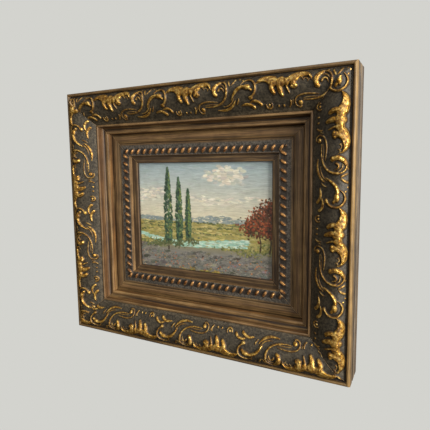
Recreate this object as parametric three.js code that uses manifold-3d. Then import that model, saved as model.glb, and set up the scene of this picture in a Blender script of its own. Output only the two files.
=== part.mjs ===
// A small oil painting on board in a deep moulded frame: four mitred lengths of one carved moulding,
// the painted board in their rebate, and a sawtooth hanger nailed to the back of the top length.
// Millimetres, +Z up, the picture faces -Y. The origin is the middle of the hanger's rear face.

import * as THREE from 'three';
import { mergeVertices } from 'three/addons/utils/BufferGeometryUtils.js';
import Module from 'manifold-3d';

const wasm = await Module();
wasm.setup();

// Driving dimensions
const frameWidth = 340;
const frameHeight = 294;
const frameDepth = 40;         // from the front of the outer lip to the wall side
const gap = 0.3;               // left between pieces that touch
const smallestFeature = 0.1;   // what the unions leave that is finer than this is merged away

const lipWidth = 3.6;          // plain bead around the outside
const fieldCrest = 3.3;        // how far the carved field swells forward of the lip
const fieldEnd = 39;           // where the carved field meets the first plain bead
const fieldFall = 8.2;         // its depth there
const friezeStart = 61.7;
const friezeDepth = 21.5;
const sightStart = 76;
const sightDepth = 26.1;
const mouldingWidth = 84.8;    // outer edge to sight edge
const sightThickness = 3;
const rebateInset = 80.8;      // outer edge to the rebate's wall

const boardThickness = 3;
const boardClearance = 0.6;

const motifPeriod = 100.8;     // the carving repeats at this length
const motifStart = { top: 47.7, right: 26, bottom: 11, left: 54.8 };  // first leaf's place on each length

const ropeCentre = 71.2;       // inset of the bead row on the frieze
const ropePitch = 8.8;
const bead = { length: 6.6, width: 4.4, rise: 2.6, slant: 58 };

const hangerLength = 44;
const hangerHeight = 9;
const hangerSheet = 0.9;
const hangerLift = 1.4;        // how far its middle stands off its nailed ends
const hangerDrop = 30;         // top of the frame down to the hanger's middle
const nail = { headRadius: 1.8, headHeight: 0.7, shankRadius: 0.6, shankLength: 8, inset: 3.6 };

const clip = { length: 10, reach: 8, sheet: 0.8 };

const finish = {
  moulding: new THREE.MeshStandardMaterial({ color: 0x4b4134, roughness: 0.6, metalness: 0.2 }),
  painting: new THREE.MeshStandardMaterial({ color: 0x8d927c, roughness: 0.55, metalness: 0 }),
  steel: new THREE.MeshStandardMaterial({ color: 0x9a9a96, roughness: 0.4, metalness: 1 }),
  brassed: new THREE.MeshStandardMaterial({ color: 0xa88a4e, roughness: 0.4, metalness: 1 }),
};

// ---- solids from closed meshes ---------------------------------------------------------------

function solidOf(geometry) {
  const bare = geometry.index ? geometry.clone() : geometry;
  for (const name of ['normal', 'uv']) bare.deleteAttribute(name);
  const merged = mergeVertices(bare, 1e-4);
  const mesh = new wasm.Mesh({
    numProp: 3,
    vertProperties: new Float32Array(merged.attributes.position.array),
    triVerts: new Uint32Array(merged.index.array),
  });
  return new wasm.Manifold(mesh);
}

function geometryOf(solid) {
  const mesh = solid.getMesh();
  const geometry = new THREE.BufferGeometry();
  geometry.setAttribute('position', new THREE.BufferAttribute(mesh.vertProperties, 3));
  geometry.setIndex(new THREE.BufferAttribute(mesh.triVerts, 1));
  return geometry;
}

function meshOf(name, geometry, material) {
  const mesh = new THREE.Mesh(geometry, material);
  mesh.name = name;
  return mesh;
}

// ---- the moulding's section --------------------------------------------------------------------
// Points are [inset from the outer edge, depth behind the lip's front]; negative depth stands proud.

// The carved field: a groove behind the lip, a swell to its crest, a long fall to the first bead.
function fieldDepth(inset) {
  const crestAt = 14;
  const grooveAt = 5;
  if (inset < crestAt) {
    const rise = Math.max(0, (inset - grooveAt) / (crestAt - grooveAt));
    return 2.6 - (2.6 + fieldCrest) * Math.sin(rise * Math.PI / 2);
  }
  const fall = (inset - crestAt) / (fieldEnd - crestAt);
  return -fieldCrest + (fieldCrest + fieldFall) * fall ** 1.75;
}

function bow(from, to, height, steps) {            // an arc-like run between two points of the section
  const run = [];
  for (let i = 1; i < steps; i += 1) {
    const t = i / steps;
    run.push([
      from[0] + (to[0] - from[0]) * t,
      from[1] + (to[1] - from[1]) * t - height * 4 * t * (1 - t),
    ]);
  }
  return run;
}

function sectionFront() {
  const lip = [[0, 1.6], [0.5, 0.4], [1.7, 0], [3, 0.3], [lipWidth, 1.3], [4.3, 2.6], [5, 2.6]];
  const field = [];
  for (const inset of [8, 12, 18, 25, 32, fieldEnd]) {
    field.push([inset, fieldDepth(inset)]);
  }
  const firstBead = [[39.4, 7.4], [40.6, 7], [41.7, 7.8], [41.9, 9.7]];
  const hollow = [[42.3, 13], [43.6, 15.7]];
  const tread = [[46.4, 16.1], [47, 15.8], [48.4, 15.7], [49.4, 16.5]];
  const cymaStart = [50, 23];
  const cyma = [cymaStart, ...bow(cymaStart, [friezeStart, friezeDepth + 0.5], 1.5, 5)];
  const frieze = [[friezeStart, friezeDepth + 0.5], [friezeStart + 0.4, friezeDepth], [sightStart, friezeDepth]];
  const sight = [[sightStart + 0.6, sightDepth], [mouldingWidth - 1.6, sightDepth - 0.5]];
  const edge = [[mouldingWidth - 0.4, sightDepth - 0.2], [mouldingWidth, sightDepth + 0.4]];
  return [...lip, ...field, ...firstBead, ...hollow, ...tread, ...cyma, ...frieze, ...sight, ...edge];
}

function sectionOutline() {
  const behindSight = sightDepth + sightThickness;
  const back = [
    [mouldingWidth, behindSight], [rebateInset, behindSight], [rebateInset, frameDepth], [3.4, frameDepth],
  ];
  const side = [                                   // a rounded rear strip, a quirk, a flat band, a quirk, the lip
    [1.2, frameDepth - 0.7], [0.3, frameDepth - 2.8], [0, frameDepth - 5.2], [0, 27.6], [1.1, 26.8],
    [1.1, 25.4], [0, 24.6], [0, 15.2], [1.3, 14.4], [1.3, 12.6], [0, 11.6],
  ];
  return [...sectionFront(), ...back, ...side];
}

// One length of moulding: its outer edge runs along +X through the middle, inset goes to -Z.
function mitredLength(length) {
  const outline = new THREE.Shape(sectionOutline().map(([inset, depth]) => new THREE.Vector2(inset, depth)));
  const geometry = new THREE.ExtrudeGeometry(outline, { depth: 1, bevelEnabled: false });
  const position = geometry.attributes.position;
  const mitreGap = gap / Math.SQRT2;
  for (let i = 0; i < position.count; i += 1) {
    const inset = position.getX(i);
    const depth = position.getY(i);
    const halfRun = length / 2 - inset - mitreGap;
    position.setXYZ(i, position.getZ(i) > 0.5 ? halfRun : -halfRun, depth, -inset);
  }
  return solidOf(geometry);
}

// ---- carving -----------------------------------------------------------------------------------
// A carved form follows a plan curve in [run along the motif, inset]. Its section is a ridge of the
// given half width and rise, set on the field and rooted a little below it.

function planBezier(points) {
  const [a, b, c, d] = points.map(([run, inset]) => new THREE.Vector2(run, inset));
  return new THREE.CubicBezierCurve(a, b, c, d);
}

// An arc or spiral about a centre; angles in degrees from the run, turning towards the inset.
function planArc(centre, fromRadius, toRadius, fromAngle, toAngle) {
  const curve = new THREE.Curve();
  curve.getPoint = (t, target = new THREE.Vector2()) => {
    const angle = THREE.MathUtils.degToRad(THREE.MathUtils.lerp(fromAngle, toAngle, t));
    const radius = THREE.MathUtils.lerp(fromRadius, toRadius, t);
    return target.set(centre[0] + radius * Math.cos(angle), centre[1] + radius * Math.sin(angle));
  };
  return curve;
}

function planPath(...curves) {
  const path = new THREE.CurvePath();
  curves.forEach((curve) => path.add(curve));
  return path;
}

// Swell is the share of the width at start, middle and end of the ridge.
function ridge(curve, halfWidth, rise, swell, stations) {
  const root = 1.5;
  const vertices = [];
  const faces = [];
  for (let i = 0; i <= stations; i += 1) {
    const t = i / stations;
    const at = curve.getPoint(t);
    const ahead = curve.getPoint(Math.min(1, t + 0.01)).sub(curve.getPoint(Math.max(0, t - 0.01))).normalize();
    const share = t < 0.5
      ? THREE.MathUtils.lerp(swell[0], swell[1], Math.sin(t * Math.PI))
      : THREE.MathUtils.lerp(swell[2], swell[1], Math.sin(t * Math.PI));
    const half = halfWidth * share;
    const height = rise * Math.sqrt(share);
    for (const side of [-1, 0, 1]) {
      const run = at.x - ahead.y * half * side;
      const inset = at.y + ahead.x * half * side;
      vertices.push(run, fieldDepth(inset) - (side === 0 ? height : -root), -inset);
    }
  }
  for (let i = 0; i < stations; i += 1) {
    for (let k = 0; k < 3; k += 1) {
      const a = 3 * i + k;
      const b = 3 * i + (k + 1) % 3;
      faces.push(a, b, a + 3, b, b + 3, a + 3);
    }
  }
  const end = 3 * stations;
  faces.push(0, 2, 1, end, end + 1, end + 2);
  const geometry = new THREE.BufferGeometry();
  geometry.setAttribute('position', new THREE.BufferAttribute(new Float32Array(vertices), 3));
  geometry.setIndex(faces);
  return geometry;
}

function knob(run, inset, halfRun, halfInset, rise) {
  const geometry = new THREE.OctahedronGeometry(1);
  geometry.scale(halfRun, rise, halfInset);
  geometry.translate(run, fieldDepth(inset) + 0.2, -inset);
  return geometry;
}

// The acanthus spray: two blades that meet over a row of hanging fingers.
function acanthus() {
  const fingers = [
    { run: 16.4, from: 11, to: 23.6, half: 2.4, rise: 3.4 },
    { run: 25.4, from: 11, to: 23, half: 3, rise: 3.8 },
    { run: 28.9, from: 13, to: 27.4, half: 1.3, rise: 2.2 },
    { run: 36.4, from: 8.5, to: 19.6, half: 2.5, rise: 3.6 },
  ];
  return [
    ridge(planBezier([[0.4, 8.6], [7.6, 5], [13.6, 6.4], [25, 15.5]]), 3.1, 3.8, [0.5, 1, 1], 3),
    ridge(planBezier([[52.4, 12.4], [47.4, 3.6], [36.3, 3.2], [23, 15.5]]), 3.1, 3.8, [0.2, 1, 1], 4),
    ...fingers.map(({ run, from, to, half, rise }) => ridge(
      planBezier([[run, from], [run - 0.3, from + (to - from) / 3], [run, to - 3], [run - 0.3, to]]),
      half, rise, [0.9, 1, 0.45], 2,
    )),
  ];
}

// The C-scroll: a bulb, a turn of three fifths of a circle, then a long tail under the spray.
function cScroll() {
  const turn = planArc([63.2, 14.4], 6.9, 6.7, 138, 358);
  const tail = planBezier([[69.9, 14.2], [70.8, 25], [60.9, 31.6], [44, 29.4]]);
  return [
    ridge(turn, 2, 1.9, [1, 0.95, 0.6], 5),
    ridge(tail, 1.2, 1.3, [1, 0.9, 0.35], 4),
  ];
}

// The hooked scroll: a swelling leaf, and an arc over it that ends in a ball.
function hookedScroll() {
  return [
    ridge(planBezier([[74.6, 24.2], [81.4, 13.6], [91, 9], [96.8, 18]]), 2.9, 2.8, [0.25, 0.8, 0.5], 4),
    ridge(planArc([92.4, 16], 8.4, 8.2, 220, 440), 1.5, 1.9, [0.6, 0.9, 1], 5),
  ];
}

// Slender leaves, commas and the curled stem along the inner side of the field.
function undergrowth() {
  return [
    ridge(planBezier([[57.4, 33.2], [68, 35.4], [75, 31.4], [77.9, 26]]), 1.4, 1.3, [0.35, 1, 0.4], 3),
    ridge(planBezier([[83.8, 31], [88, 29.2], [93, 29.4], [96.4, 33]]), 1.7, 1.7, [0.25, 0.9, 0.9], 3),
    ridge(planBezier([[93, 28.8], [97, 26.8], [101.4, 27], [104, 31]]), 1.5, 1.7, [0.25, 0.9, 0.9], 3),
    ridge(planPath(
      planArc([41.2, 32.2], 2.6, 6.2, 77, 262),
      planBezier([[40.3, 26.1], [44, 24.2], [51, 24.7], [58.4, 25.8]]),
    ), 0.9, 1, [1, 1, 0.4], 4),
    knob(41.2, 32, 2, 2.4, 2.2),
    knob(11.2, 32.2, 2.6, 2.4, 1.4),
  ];
}

function carvedMotifs(length, side) {
  const pieces = [];
  for (let start = motifStart[side] - motifPeriod; start < length; start += motifPeriod) {
    for (const form of [...acanthus(), ...cScroll(), ...hookedScroll(), ...undergrowth()]) {
      form.translate(start - length / 2, 0, 0);
      pieces.push(solidOf(form));
    }
  }
  return pieces;
}

function beadRow(length) {
  const pieces = [];
  const count = Math.ceil(length / ropePitch / 2);
  for (let i = -count; i <= count; i += 1) {
    const geometry = new THREE.OctahedronGeometry(1);
    geometry.scale(bead.length / 2, bead.rise, bead.width / 2);
    geometry.rotateY(THREE.MathUtils.degToRad(-bead.slant));
    geometry.translate(i * ropePitch, friezeDepth + 0.2, -ropeCentre);
    pieces.push(solidOf(geometry));
  }
  return pieces;
}

// The wedge between the two mitres, within which all that grows on a length stays.
function mitreWedge(length) {
  const half = length / 2 - gap / Math.SQRT2;
  const tip = mouldingWidth + 4;
  const outline = new THREE.Shape([
    new THREE.Vector2(-half, 0), new THREE.Vector2(half, 0),
    new THREE.Vector2(half - tip, tip), new THREE.Vector2(tip - half, tip),
  ]);
  const geometry = new THREE.ExtrudeGeometry(outline, { depth: 2 * frameDepth, bevelEnabled: false });
  geometry.translate(0, 0, -frameDepth);
  geometry.rotateX(-Math.PI / 2);
  return solidOf(geometry);
}

function nailBore() {
  const radius = nail.shankRadius + gap;
  const geometry = new THREE.CylinderGeometry(radius, radius, nail.shankLength, 6);
  geometry.translate(0, frameDepth - nail.shankLength / 2 + 1, 0);
  return geometry;
}

const nailPlaces = [-1, 1].map((side) => side * (hangerLength / 2 - nail.inset));

function rail(side, length) {
  const forms = wasm.Manifold.union([...carvedMotifs(length, side), ...beadRow(length)]);
  let solid = mitredLength(length).add(forms.intersect(mitreWedge(length)));
  if (side === 'top') {
    for (const place of nailPlaces) {
      const bore = nailBore();
      bore.translate(place, 0, -hangerDrop);
      solid = solid.subtract(solidOf(bore));
    }
  }
  return meshOf(`rail_${side}`, geometryOf(solid.simplify(smallestFeature)), finish.moulding);
}

// ---- the painted board and what holds it --------------------------------------------------------

const boardFront = sightDepth + sightThickness + gap;

function paintedBoard() {
  const width = frameWidth - 2 * (rebateInset + boardClearance);
  const height = frameHeight - 2 * (rebateInset + boardClearance);
  const geometry = new THREE.BoxGeometry(width, boardThickness, height);
  const mesh = meshOf('painted_board', geometry, finish.painting);
  mesh.position.y = boardFront + boardThickness / 2;
  return mesh;
}

// A flat steel point pressed into the rebate's wall, lying on the board's back.
function boardPoint(name, run, inset, turn) {
  const half = clip.length / 2;
  const outline = new THREE.Shape([
    new THREE.Vector2(-half, 0), new THREE.Vector2(half, 0),
    new THREE.Vector2(half * 0.35, clip.reach), new THREE.Vector2(-half * 0.35, clip.reach),
  ]);
  const geometry = new THREE.ExtrudeGeometry(outline, { depth: clip.sheet, bevelEnabled: false });
  geometry.rotateX(Math.PI / 2);
  geometry.rotateX(Math.PI);
  geometry.translate(run, boardFront + boardThickness + gap, -inset);
  geometry.rotateY(turn);
  return meshOf(name, geometry, finish.steel);
}

function boardPoints() {
  const reach = rebateInset + gap;
  return [
    boardPoint('board_point_top', 0, reach - frameHeight / 2, 0),
    boardPoint('board_point_right', 0, reach - frameWidth / 2, Math.PI / 2),
    boardPoint('board_point_bottom', 0, reach - frameHeight / 2, Math.PI),
    boardPoint('board_point_left', 0, reach - frameWidth / 2, -Math.PI / 2),
  ];
}

// ---- the sawtooth hanger ------------------------------------------------------------------------

const hangerFront = frameDepth + gap;
const hangerRear = hangerFront + hangerLift + hangerSheet;
const hangerMiddle = frameHeight / 2 - hangerDrop;

function hangerStrip() {                            // seen from above: flat ends, a raised middle
  const half = hangerLength / 2;
  const foot = 7.6;
  const ramp = 2;
  const low = hangerFront;
  const high = hangerFront + hangerLift;
  const walk = [[-half, low], [foot - half, low], [foot + ramp - half, high]];
  const front = [...walk, ...walk.map(([x, y]) => [-x, y]).reverse()];
  const rear = front.map(([x, y]) => [x, y + hangerSheet]).reverse();
  const outline = new THREE.Shape([...front, ...rear].map(([x, y]) => new THREE.Vector2(x, y)));
  const geometry = new THREE.ExtrudeGeometry(outline, { depth: hangerHeight, bevelEnabled: false });
  geometry.translate(0, 0, hangerMiddle - hangerHeight / 2);
  return geometry;
}

function hanger() {
  let solid = solidOf(hangerStrip());
  const teeth = 7;
  const pitch = 3.2;
  const bite = 1.7;
  for (let i = 0; i < teeth; i += 1) {
    const centre = (i - (teeth - 1) / 2) * pitch;
    const notch = new THREE.ExtrudeGeometry(new THREE.Shape([
      new THREE.Vector2(centre - pitch * 0.45, -1), new THREE.Vector2(centre + pitch * 0.45, -1),
      new THREE.Vector2(centre, bite),
    ]), { depth: 6, bevelEnabled: false });
    notch.rotateX(Math.PI / 2);
    notch.translate(0, hangerRear + 2, hangerMiddle - hangerHeight / 2);
    solid = solid.subtract(solidOf(notch));
  }
  for (const place of nailPlaces) {
    const hole = nailBore();
    hole.translate(place, hangerSheet, hangerMiddle);
    solid = solid.subtract(solidOf(hole));
  }
  return meshOf('hanger', geometryOf(solid), finish.brassed);
}

function hangerNail(name, place) {
  const headFront = hangerFront + hangerSheet + gap;
  const headTop = headFront + nail.headHeight;
  const point = headFront - nail.shankLength;
  const profile = [
    [0, point], [nail.shankRadius, point + 1.4], [nail.shankRadius, headFront],
    [nail.headRadius, headFront], [nail.headRadius * 0.75, headTop], [0, headTop],
  ];
  const geometry = new THREE.LatheGeometry(profile.map(([x, y]) => new THREE.Vector2(x, y)), 8);
  geometry.translate(place, 0, hangerMiddle);
  return meshOf(name, geometry, finish.steel);
}

// ---- assembly -----------------------------------------------------------------------------------

const frame = new THREE.Group();
const lengths = [
  { side: 'top', length: frameWidth, turn: 0, at: [0, frameHeight / 2] },
  { side: 'right', length: frameHeight, turn: Math.PI / 2, at: [frameWidth / 2, 0] },
  { side: 'bottom', length: frameWidth, turn: Math.PI, at: [0, -frameHeight / 2] },
  { side: 'left', length: frameHeight, turn: -Math.PI / 2, at: [-frameWidth / 2, 0] },
];
for (const { side, length, turn, at } of lengths) {
  const mesh = rail(side, length);
  mesh.rotation.y = turn;
  mesh.position.set(at[0], 0, at[1]);
  frame.add(mesh);
}
frame.add(paintedBoard(), ...boardPoints(), hanger());
frame.add(hangerNail('hanger_nail_left', nailPlaces[0]), hangerNail('hanger_nail_right', nailPlaces[1]));
frame.position.set(0, -hangerRear, -hangerMiddle);

export default frame;
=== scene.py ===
# A small oil landscape in a deep carved and gilded frame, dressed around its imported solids.
import math
import bpy
import numpy as np
from mathutils import Matrix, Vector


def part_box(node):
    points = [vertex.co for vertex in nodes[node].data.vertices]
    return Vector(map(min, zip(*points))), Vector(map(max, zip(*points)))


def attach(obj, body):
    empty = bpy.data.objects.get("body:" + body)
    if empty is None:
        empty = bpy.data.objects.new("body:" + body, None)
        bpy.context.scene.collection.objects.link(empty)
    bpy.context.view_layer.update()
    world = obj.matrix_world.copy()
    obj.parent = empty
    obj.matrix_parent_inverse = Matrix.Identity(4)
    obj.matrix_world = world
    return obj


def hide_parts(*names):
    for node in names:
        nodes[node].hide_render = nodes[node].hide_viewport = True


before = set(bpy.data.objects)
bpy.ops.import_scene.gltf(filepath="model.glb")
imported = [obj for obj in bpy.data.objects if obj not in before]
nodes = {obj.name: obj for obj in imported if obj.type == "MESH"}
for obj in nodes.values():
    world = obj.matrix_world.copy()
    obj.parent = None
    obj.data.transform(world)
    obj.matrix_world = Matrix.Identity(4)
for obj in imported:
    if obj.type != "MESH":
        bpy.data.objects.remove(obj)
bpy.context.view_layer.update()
mm = 0.001
frameDepth = 40.0                                  # front of the lip to the wood's back, mm
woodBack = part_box("rail_top")[1][1] / mm
lipFront = woodBack - frameDepth


# Shared helpers.
def hexShares(hexColour):
    return np.array([int(hexColour[i:i + 2], 16) for i in (1, 3, 5)]) / 255


def toLinear(value):
    # the standard sRGB curve, channel by channel
    return np.where(value <= 0.04045, value / 12.92, ((np.maximum(value, 0) + 0.055) / 1.055) ** 2.4)


def linear(hexColour):
    return toLinear(hexShares(hexColour))


def colour(hexColour):
    return (*linear(hexColour), 1.0)


def step(low, high, value):
    # smooth step: 0 below low, 1 above high, an S curve between
    t = np.clip((value - low) / (high - low), 0, 1)
    return t * t * (3 - 2 * t)


def addNode(tree, kind, links=None, stops=(), **settings):
    # one node with its settings; a link's key names the input, and its value is a socket, a node whose
    # first output is meant, or a fixed value; stops are a colour ramp's [place, hex] pairs
    node = tree.nodes.new(kind)
    for name, value in settings.items():
        setattr(node, name, value)
    for key, value in (links or {}).items():
        socket = value.outputs[0] if isinstance(value, bpy.types.Node) else value
        if isinstance(socket, bpy.types.NodeSocket):
            tree.links.new(socket, node.inputs[key])
        else:
            node.inputs[key].default_value = value
    for _ in stops[2:]:
        node.color_ramp.elements.new(0.5)
    for element, (place, hexColour) in zip(node.color_ramp.elements if stops else (), stops):
        element.position = place
        element.color = colour(hexColour)
    return node


def newMaterial(name):
    material = bpy.data.materials.new(name)
    material.use_nodes = True
    tree = material.node_tree
    tree.nodes.clear()
    return material, tree


def gridMesh(name, points, uv, closeRows, hardRows, materialRows, caps, values, colours):
    # points is a grid of rows by columns by xyz. Quads join neighbours; closeRows joins the last row to
    # the first; caps fills the two open ends with one face each. Faces come out in one turn throughout.
    rows, columns = points.shape[:2]
    index = np.arange(rows * columns).reshape(rows, columns)
    lower = index if closeRows else index[:-1]
    upper = np.roll(index, -1, axis=0) if closeRows else index[1:]
    quads = np.stack([lower[:, :-1], upper[:, :-1], upper[:, 1:], lower[:, 1:]], axis=-1).reshape(-1, 4)
    quadRows = np.repeat(np.arange(len(lower)), columns - 1)
    loops = [quads.ravel()]
    sizes = [np.full(len(quads), 4)]
    if caps:
        loops += [index[::-1, 0], index[:, -1]]
        sizes += [[rows], [rows]]
    loops = np.concatenate(loops)
    sizes = np.concatenate(sizes)
    starts = np.concatenate([[0], np.cumsum(sizes)[:-1]])
    mesh = bpy.data.meshes.new(name)
    mesh.vertices.add(rows * columns)
    mesh.vertices.foreach_set("co", points.astype(np.float32).ravel())
    mesh.loops.add(len(loops))
    mesh.loops.foreach_set("vertex_index", loops.astype(np.int32))
    mesh.polygons.add(len(sizes))
    mesh.polygons.foreach_set("loop_start", starts.astype(np.int32))
    mesh.update(calc_edges=True)
    mesh.polygons.foreach_set("use_smooth", np.ones(len(sizes), dtype=bool))
    slots = np.zeros(len(sizes), dtype=np.int32)
    slots[:len(quads)] = np.asarray(materialRows)[quadRows]
    if caps:
        slots[len(quads):] = 1
    mesh.polygons.foreach_set("material_index", slots)
    # an edge along a hard row, or round a cap, is sharp
    ends = np.zeros(len(mesh.edges) * 2, dtype=np.int32)
    mesh.edges.foreach_get("vertices", ends)
    edgeRow, edgeColumn = np.divmod(ends.reshape(-1, 2), columns)
    sharp = (edgeRow[:, 0] == edgeRow[:, 1]) & np.asarray(hardRows)[edgeRow[:, 0]]
    sharp |= (edgeColumn[:, 0] == edgeColumn[:, 1]) & np.isin(edgeColumn[:, 0], [0, columns - 1]) & caps
    mesh.attributes.new("sharp_edge", "BOOLEAN", "EDGE").data.foreach_set("value", sharp)
    layer = mesh.uv_layers.new(name="OFBake")
    loopUv = uv.reshape(-1, 2)[loops].astype(np.float32)
    if closeRows:
        # the closing strip ends at the map's far side, not back at its start
        wrap = np.repeat(quadRows == rows - 1, 4) & (loops[:len(quads) * 4] < columns)
        loopUv[:len(quads) * 4][wrap, 1] = uv[:, :, 1].max() + uv[1, 0, 1] - uv[0, 0, 1]
    if caps:
        for cap, corners in enumerate(np.split(np.arange(len(quads) * 4, len(loops)), 2)):
            place = points.reshape(-1, 3)[loops[corners]]
            flat = (place - place.min(0)) / np.ptp(place, axis=0).max()
            across = flat[:, [0, 1]] if np.ptp(place[:, 0]) > np.ptp(place[:, 1]) else flat[:, [2, 1]]
            loopUv[corners] = [0.02 + 0.3 * cap, 0.88] + 0.25 * across * [1, 0.45]
    layer.data.foreach_set("uv", loopUv.ravel())
    for label, field in values.items():
        mesh.attributes.new(label, "FLOAT", "POINT").data.foreach_set(
            "value", field.astype(np.float32).ravel(),
        )
    for label, field in colours.items():
        rgba = np.concatenate([field, np.ones((*field.shape[:2], 1))], axis=-1)
        mesh.attributes.new(label, "FLOAT_COLOR", "POINT").data.foreach_set(
            "color", rgba.astype(np.float32).ravel(),
        )
    mesh.validate()
    return mesh


def addPiece(name, mesh, replaced, materials):
    for material in materials:
        mesh.materials.append(material)
    piece = bpy.data.objects.new(name, mesh)
    bpy.context.collection.objects.link(piece)
    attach(piece, "root")
    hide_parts(replaced)


# Camera and lights.
studio = {
    "cameraAt": (225.8, -372.8, -55.0),        # mm; its y counts from the lip's front
    "forward": (-0.4584, 0.8814, -0.1144),
    "up": (-0.0412, 0.1075, 0.9934),
    "lens": 34.35, "shift": (0.0014, -0.0126),
    "backdrop": "#d3d3ce",
}


def aimed(direction, up):
    # rotation whose -Z looks along direction and whose Y is nearest to up
    back = -np.array(direction) / np.linalg.norm(direction)
    right = np.cross(up, back)
    right /= np.linalg.norm(right)
    turn = np.eye(4)
    turn[:3, 0], turn[:3, 1], turn[:3, 2] = right, np.cross(back, right), back
    return turn


def placed(name, data, at, turn):
    thing = bpy.data.objects.new(name, data)
    bpy.context.collection.objects.link(thing)
    matrix = turn.copy()
    matrix[:3, 3] = np.array(at) * mm
    thing.matrix_world = Matrix(matrix.tolist())
    return thing


def makeCamera():
    data = bpy.data.cameras.new("camera")
    data.sensor_width = 36
    data.lens = studio["lens"]
    data.shift_x, data.shift_y = studio["shift"]
    data.clip_start = 0.01
    at = np.array(studio["cameraAt"]) + [0, lipFront, 0]
    camera = placed("camera", data, at, aimed(studio["forward"], studio["up"]))
    bpy.context.scene.camera = camera


def makeLight(name, at, size, power, tint):
    data = bpy.data.lights.new(name, "AREA")
    data.shape = "RECTANGLE"
    data.size, data.size_y = size[0] * mm, size[1] * mm
    data.energy = power
    data.color = tuple(linear(tint))
    centre = np.array([0, -40, -117])
    placed(name, data, at, aimed(centre - np.array(at), (0, 0, 1)))


def makeWorld():
    # a plain pale backdrop to the eye; a dimmer room, lighter to the right and above, to the object
    world = bpy.data.worlds.new("studio")
    bpy.context.scene.world = world
    world.use_nodes = True
    tree = world.node_tree
    tree.nodes.clear()
    direction = addNode(tree, "ShaderNodeTexCoord").outputs["Generated"]
    split = addNode(tree, "ShaderNodeSeparateXYZ", {0: direction})
    lean = addNode(
        tree, "ShaderNodeMath",
        {
            0: addNode(tree, "ShaderNodeMath", {0: split.outputs["X"], 1: 0.75}, operation="MULTIPLY"),
            1: addNode(tree, "ShaderNodeMath", {0: split.outputs["Z"], 1: 0.55}, operation="MULTIPLY"),
        },
        operation="ADD",
    )
    room = addNode(
        tree, "ShaderNodeValToRGB",
        {
            "Fac": addNode(
                tree, "ShaderNodeMapRange", {"Value": lean, "From Min": -0.8, "From Max": 0.9},
                interpolation_type="SMOOTHSTEP",
            )
        },
        [[0.0, "#262523"], [0.5, "#696867"], [1.0, "#c9cccd"]],
    )
    seen = addNode(tree, "ShaderNodeLightPath").outputs["Is Camera Ray"]
    tint = addNode(
        tree, "ShaderNodeMix", {0: seen, 6: room, 7: colour(studio["backdrop"])}, data_type="RGBA",
    ).outputs[2]
    surface = addNode(tree, "ShaderNodeBackground", {"Color": tint, "Strength": 1.0})
    addNode(tree, "ShaderNodeOutputWorld", {"Surface": surface.outputs[0]})


makeCamera()
makeWorld()
makeLight("window", (1700, -760, 150), (700, 1200), 60, "#fff8ee")
makeLight("glint", (750, -1500, 620), (260, 420), 4, "#fff6e8")
makeLight("room", (-500, -1700, 300), (1400, 1400), 7, "#fff4e6")
makeLight("ceiling", (150, -600, 1500), (1200, 900), 7, "#ffffff")
bpy.context.scene.view_settings.view_transform = "Standard"
print("studio ready")


# The moulding.
moulding = {
    "mitreGap": 0.2121,
    "fieldStart": 5.0, "crestAt": 14.0, "fieldEnd": 39.0, "groove": 2.6, "crest": 3.3, "fall": 8.2,
    "fieldRows": 76, "columnsPerMm": 1.6, "frontLimit": -6.9,
    "period": 100.8,
    "starts": {"top": 47.7, "right": 26.0, "bottom": 11.0, "left": 54.8},
    "rasterStep": 0.15,
}

beads = {"centre": 71.2, "pitch": 8.8, "length": 8.6, "width": 3.1, "rise": 2.7, "slant": 56,
         "frieze": (67.0, 75.6), "rows": 19}

# Tones of the finish, zone by zone from the lip to the sight edge, then the sides and the back. Three stand
# for light, not finish:
# the near-black quirk tones are painted shade in the grooves, the cyma's crest tone is a painted highlight,
# and the right-hand lip's tone is painted light.
tones = {
    "lip": "#6b5434", "lipEdge": "#7c6239", "ground": "#3b3529", "margin": "#484032", "arris": "#7d6140",
    "hollow": "#5f4120", "tread": "#6a5132", "treadEdge": "#8a6d47", "wall": "#714f29", "cyma": "#685030",
    "cymaEdge": "#74593a", "quirk": "#211306", "frieze": "#4b463f", "sight": "#4d3c29",
    "sightEdge": "#5f4930", "rebate": "#8b6f4c", "raw": "#a98d66", "backStrip": "#3d3127",
    "rearBand": "#57493a", "sideBand": "#75695a", "lipLitRight": "#8d7041", "sideQuirk": "#0e0a06",
    "lipSide": "#6c5a42",
}


def fieldDepth(inset):
    # a sine rise from the groove to the crest, then a fall that steepens as the power 1.75
    m = moulding
    rise = np.clip((inset - m["fieldStart"]) / (m["crestAt"] - m["fieldStart"]), 0, 1)
    fall = np.clip((inset - m["crestAt"]) / (m["fieldEnd"] - m["crestAt"]), 0, 1)
    swell = m["groove"] - (m["groove"] + m["crest"]) * np.sin(rise * np.pi / 2)
    return np.where(inset < m["crestAt"], swell, -m["crest"] + (m["crest"] + m["fall"]) * fall ** 1.75)


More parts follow.
